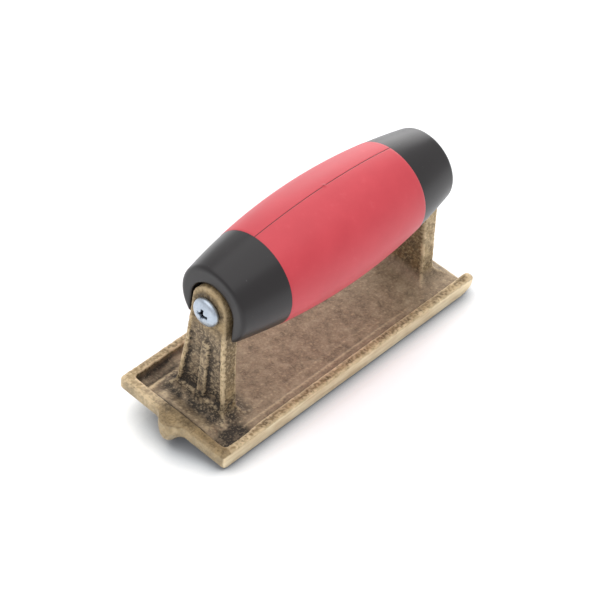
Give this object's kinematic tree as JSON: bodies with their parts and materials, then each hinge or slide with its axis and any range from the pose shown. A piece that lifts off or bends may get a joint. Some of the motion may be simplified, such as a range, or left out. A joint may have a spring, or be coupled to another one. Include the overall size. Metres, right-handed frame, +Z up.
{
  "type": "concrete hand groover",
  "caption": "Cast bronze concrete groover: a rimmed plate with a V bit along its sole, and posts that carry a barrel handle with a soft grip.",
  "frame": {"origin": "under the middle of the tool: midway between the nose and the open end, and between the two long sides, on the lowest line of the bit", "axes": "+X along the bit and the handle, towards the plate's open end without a rim; +Y across the sole; +Z up, out of the handle's top"},
  "size_m": [0.1174, 0.0428, 0.0658],
  "materials": {
    "cast_bronze": "sand cast bronze, brown and pitted, with ground pale gold edges and sole",
    "black_plastic": "satin black hard plastic",
    "red_rubber": "soft satin red overmould with a fine mould seam",
    "zinc_plate": "bright zinc plated steel"
  },
  "bodies": {
    "root": {"groover_casting": "cast_bronze", "handle_core": "black_plastic", "handle_grip": "red_rubber", "front_screw": "zinc_plate", "rear_screw": "zinc_plate"}
  },
  "joints": []
}
